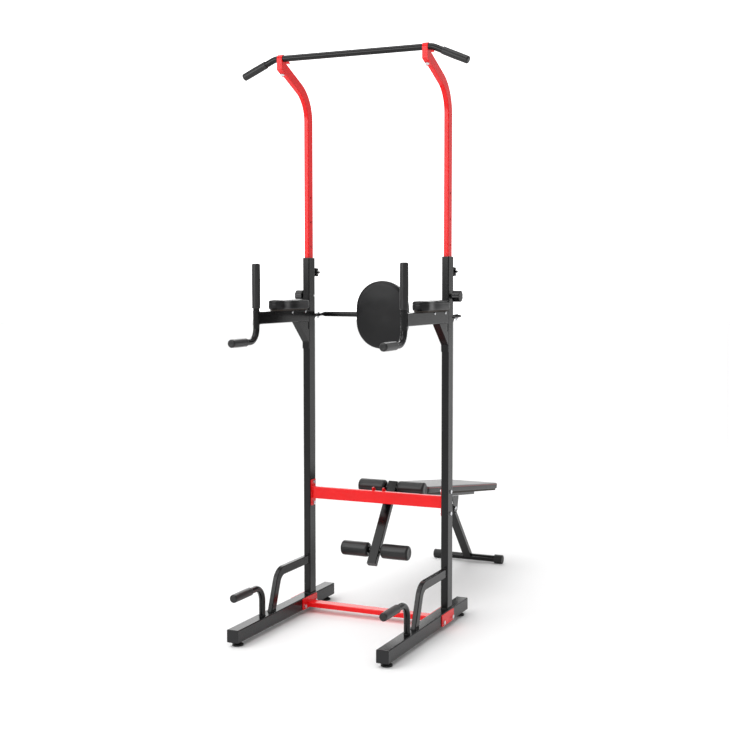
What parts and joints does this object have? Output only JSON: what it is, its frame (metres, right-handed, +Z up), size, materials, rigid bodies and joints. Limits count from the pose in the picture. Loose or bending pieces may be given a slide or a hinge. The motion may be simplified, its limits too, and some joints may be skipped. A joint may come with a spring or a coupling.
{
  "type": "power tower",
  "caption": "Free-standing pull-up and dip tower with a telescoping pull-up bar, padded dip arms, a backrest, push-up handles and a hook-on decline bench with foam rollers.",
  "frame": {"origin": "on the floor, in the middle of the footprint's bounding box", "axes": "+Z up; -Y towards the front, where the dip arms and push-up handles point; +Y back along the bench; +X across, towards the right-hand mast as seen from the front"},
  "size_m": [0.97, 1.8055, 2.2827],
  "materials": {
    "black_paint": "gloss powder coat",
    "red_paint": "gloss powder coat",
    "zinc": "bright zinc plate",
    "black_plastic": "moulded, fine texture",
    "foam": "closed-cell foam skin",
    "vinyl": "soft grained vinyl",
    "plywood": "dark-stained plywood"
  },
  "bodies": {
    "frame": {"left_base_rail": "black_paint", "right_base_rail": "black_paint", "rail_end_caps": "black_plastic", "left_lower_upright": "black_paint", "right_lower_upright": "black_paint", "upright_liners": "black_plastic", "knob_bosses": "black_paint", "rail_braces": "black_paint", "push_up_bars": "black_paint", "push_up_grips": "foam", "floor_cross_bar": "red_paint", "middle_cross_bar": "red_paint", "cross_bar_plates": "red_paint", "frame_fasteners": "zinc", "bench_hook_ears": "red_paint", "dip_arms": "black_paint", "dip_arm_gussets": "black_paint", "dip_handles": "black_paint", "dip_upper_grips": "foam", "dip_lower_grips": "foam", "arm_pads": "vinyl", "arm_pad_boards": "plywood", "pad_screws": "zinc", "backrest_brackets": "black_paint", "backrest_bar": "black_paint", "backrest_bolts": "zinc", "backrest_saddles": "black_paint", "backrest_board": "plywood", "backrest_pad": "vinyl"},
    "upper_frame": {"left_upper_upright": "red_paint", "right_upper_upright": "red_paint", "glide_plugs": "black_plastic", "pull_up_bar": "black_paint", "pull_up_grips": "foam", "pull_up_clamps": "red_paint", "pull_up_bolts": "zinc"},
    "bench": {"bench_beam": "black_paint", "bench_board": "plywood", "bench_pad": "vinyl", "bench_straps": "black_paint", "roller_leg": "black_paint", "roller_axles": "black_paint", "bench_caps": "black_plastic", "leg_bracket": "black_paint", "bench_bolts": "zinc"},
    "rear_leg": {"rear_leg": "black_paint", "rear_foot_bar": "black_paint", "foot_bar_caps": "black_plastic"},
    "left_pin_knob": {"left_pin_knob": "black_plastic"},
    "left_clamp_knob": {"left_clamp_knob": "black_plastic"},
    "front_left_foot": {"front_left_foot": "black_plastic"},
    "rear_left_foot": {"rear_left_foot": "black_plastic"},
    "lower_left_roller": {"lower_left_roller": "foam"},
    "upper_left_roller": {"upper_left_roller": "foam"},
    "right_pin_knob": {"right_pin_knob": "black_plastic"},
    "right_clamp_knob": {"right_clamp_knob": "black_plastic"},
    "front_right_foot": {"front_right_foot": "black_plastic"},
    "rear_right_foot": {"rear_right_foot": "black_plastic"},
    "lower_right_roller": {"lower_right_roller": "foam"},
    "upper_right_roller": {"upper_right_roller": "foam"}
  },
  "joints": [
    {"name": "mast_slide", "type": "slide", "parent": "frame", "child": "upper_frame", "axis": [0, 0, 1], "range_m": [-0.4064, 0]},
    {"name": "bench_tilt", "type": "hinge", "parent": "frame", "child": "bench", "pos_m": [0, -0.20946, 0.48661], "axis": [1, 0, 0], "range_deg": [0, 75]},
    {"name": "rear_leg_fold", "type": "hinge", "parent": "bench", "child": "rear_leg", "pos_m": [0, 0.6032, 0.31], "axis": [1, 0, 0], "range_deg": [-135, 0]},
    {"name": "left_pin_slide", "type": "slide", "parent": "frame", "child": "left_pin_knob", "axis": [1, 0, 0], "range_m": [0, 0.0095]},
    {"name": "left_clamp_turn", "type": "hinge", "parent": "frame", "child": "left_clamp_knob", "pos_m": [-0.31, -0.2088, 1.425], "axis": [0, 1, 0], "continuous": true},
    {"name": "front_left_foot_screw", "type": "slide", "parent": "frame", "child": "front_left_foot", "axis": [0, 0, -1], "range_m": [0, 0.012]},
    {"name": "rear_left_foot_screw", "type": "slide", "parent": "frame", "child": "rear_left_foot", "axis": [0, 0, -1], "range_m": [0, 0.012]},
    {"name": "lower_left_roller_turn", "type": "hinge", "parent": "bench", "child": "lower_left_roller", "pos_m": [-0.09, -0.2678, 0.276], "axis": [1, 0, 0], "continuous": true},
    {"name": "upper_left_roller_turn", "type": "hinge", "parent": "bench", "child": "upper_left_roller", "pos_m": [-0.09, -0.0928, 0.512], "axis": [1, 0, 0], "continuous": true},
    {"name": "right_pin_slide", "type": "slide", "parent": "frame", "child": "right_pin_knob", "axis": [-1, 0, 0], "range_m": [0, 0.0095]},
    {"name": "right_clamp_turn", "type": "hinge", "parent": "frame", "child": "right_clamp_knob", "pos_m": [0.31, -0.2088, 1.425], "axis": [0, 1, 0], "continuous": true},
    {"name": "front_right_foot_screw", "type": "slide", "parent": "frame", "child": "front_right_foot", "axis": [0, 0, -1], "range_m": [0, 0.012]},
    {"name": "rear_right_foot_screw", "type": "slide", "parent": "frame", "child": "rear_right_foot", "axis": [0, 0, -1], "range_m": [0, 0.012]},
    {"name": "lower_right_roller_turn", "type": "hinge", "parent": "bench", "child": "lower_right_roller", "pos_m": [0.09, -0.2678, 0.276], "axis": [1, 0, 0], "continuous": true},
    {"name": "upper_right_roller_turn", "type": "hinge", "parent": "bench", "child": "upper_right_roller", "pos_m": [0.09, -0.0928, 0.512], "axis": [1, 0, 0], "continuous": true}
  ]
}
